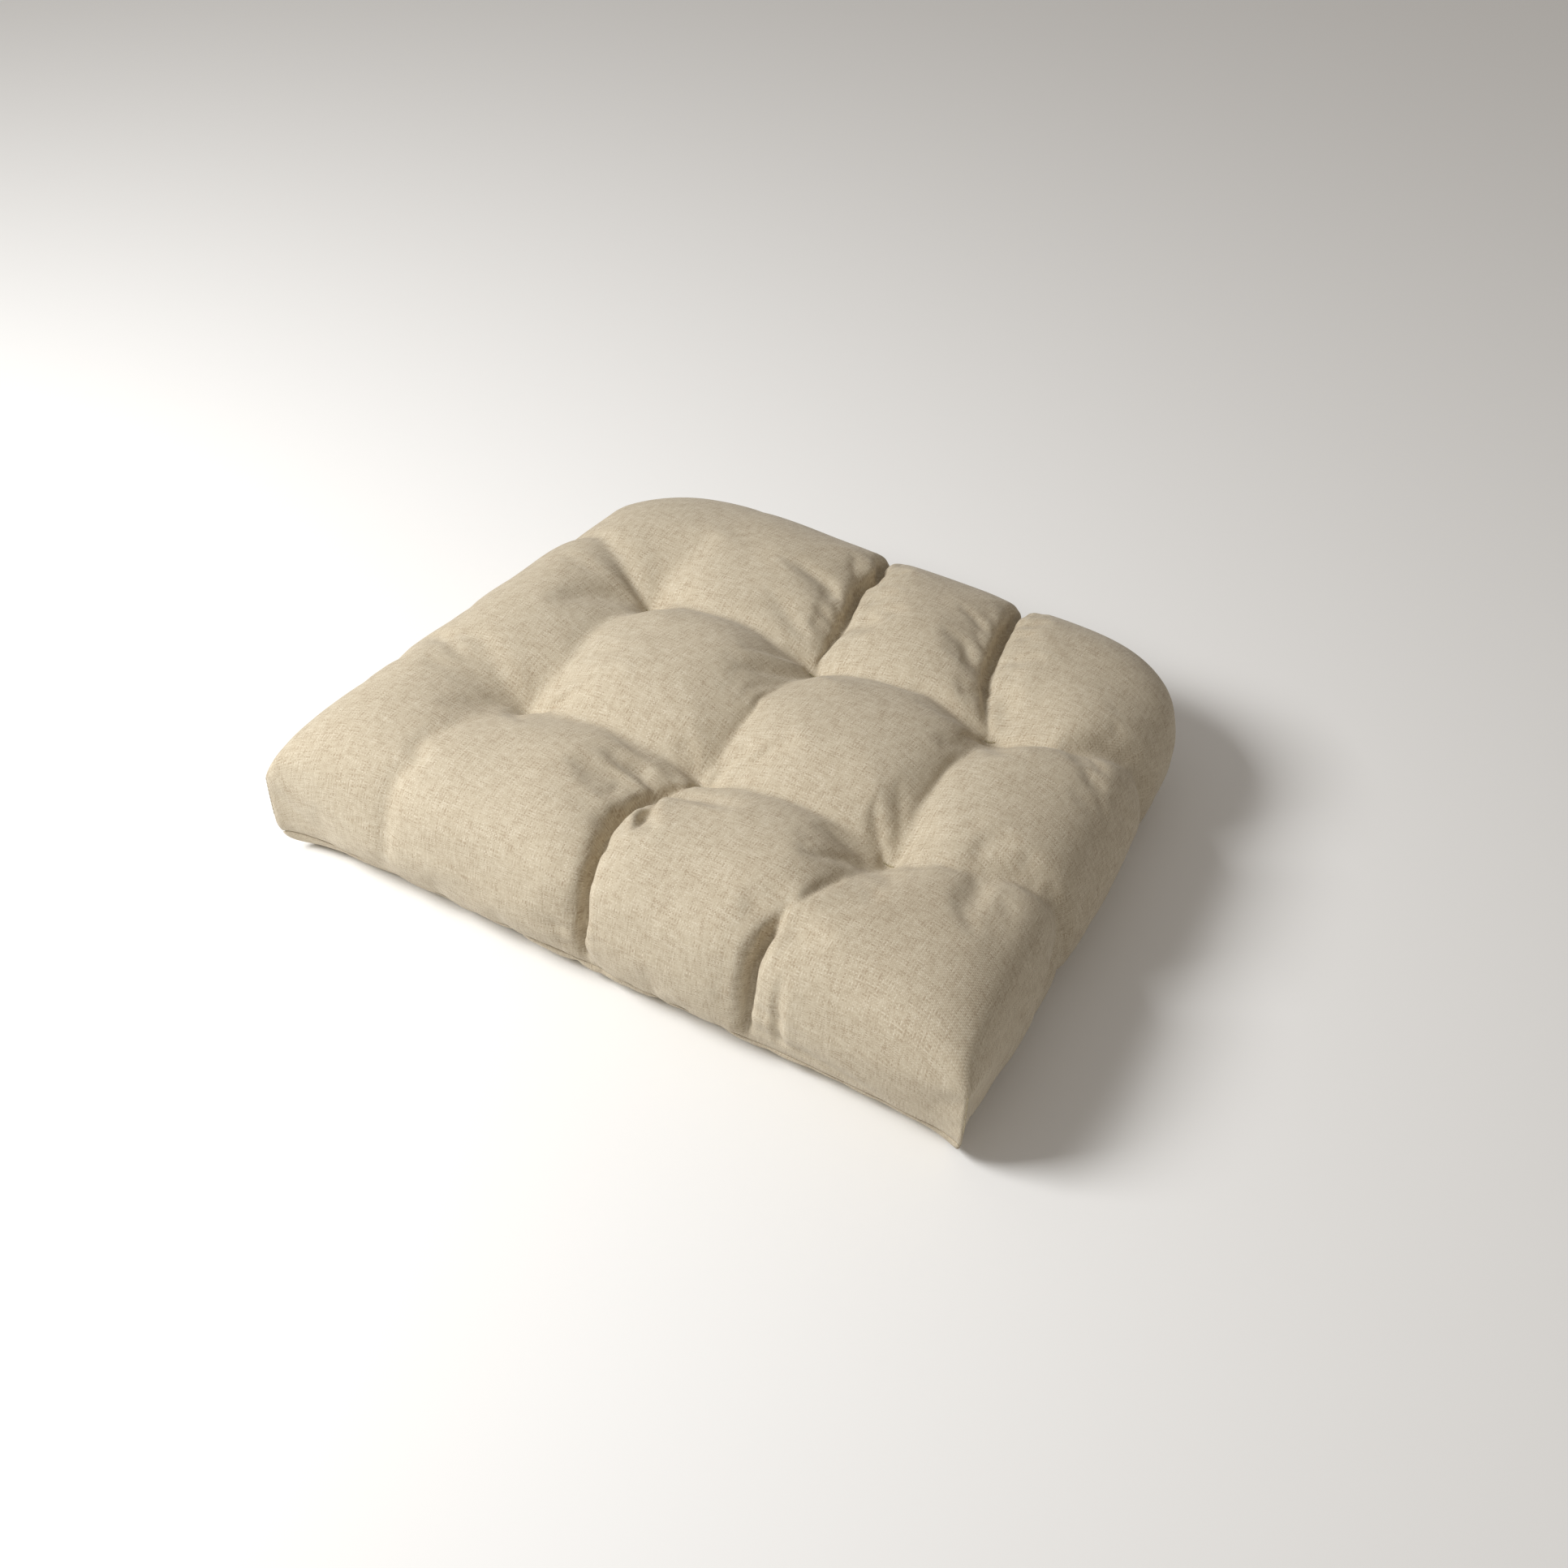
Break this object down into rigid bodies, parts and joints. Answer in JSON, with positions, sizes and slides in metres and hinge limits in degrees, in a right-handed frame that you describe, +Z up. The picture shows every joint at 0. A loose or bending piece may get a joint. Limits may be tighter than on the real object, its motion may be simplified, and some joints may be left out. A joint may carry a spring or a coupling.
{
  "type": "chair seat pad",
  "caption": "Thick tufted seat pad for a wicker armchair, with a woven cover, square front corners and rounded back corners.",
  "frame": {"origin": "middle of the underside, in the plane that the pad rests on", "axes": "+X to the sitter's left along the width, +Y from the front edge to the back edge, +Z up"},
  "size_m": [0.5096, 0.43, 0.1179],
  "materials": {
    "cover_fabric": "plain-woven outdoor polyester or olefin in heathered beige yarns, matt",
    "fibre_filling": "loose white polyester fibre, matt",
    "sewing_thread": "bonded polyester thread, slight sheen",
    "tuft_twine": "twisted tufting twine, slight sheen",
    "tuft_washer": "moulded nylon, satin"
  },
  "bodies": {
    "root": {"top_cover": "cover_fabric", "bottom_cover": "cover_fabric", "fibre_fill": "fibre_filling", "seam_stitching": "sewing_thread", "closing_stitching": "sewing_thread", "left_dart_stitching": "sewing_thread", "right_dart_stitching": "sewing_thread", "tuft_tie_1": "tuft_twine", "tuft_tie_2": "tuft_twine", "tuft_tie_3": "tuft_twine", "tuft_tie_4": "tuft_twine", "tuft_tie_5": "tuft_twine", "tuft_tie_6": "tuft_twine", "tuft_washer_1": "tuft_washer", "tuft_washer_2": "tuft_washer", "tuft_washer_3": "tuft_washer", "tuft_washer_4": "tuft_washer", "tuft_washer_5": "tuft_washer", "tuft_washer_6": "tuft_washer"}
  },
  "joints": []
}
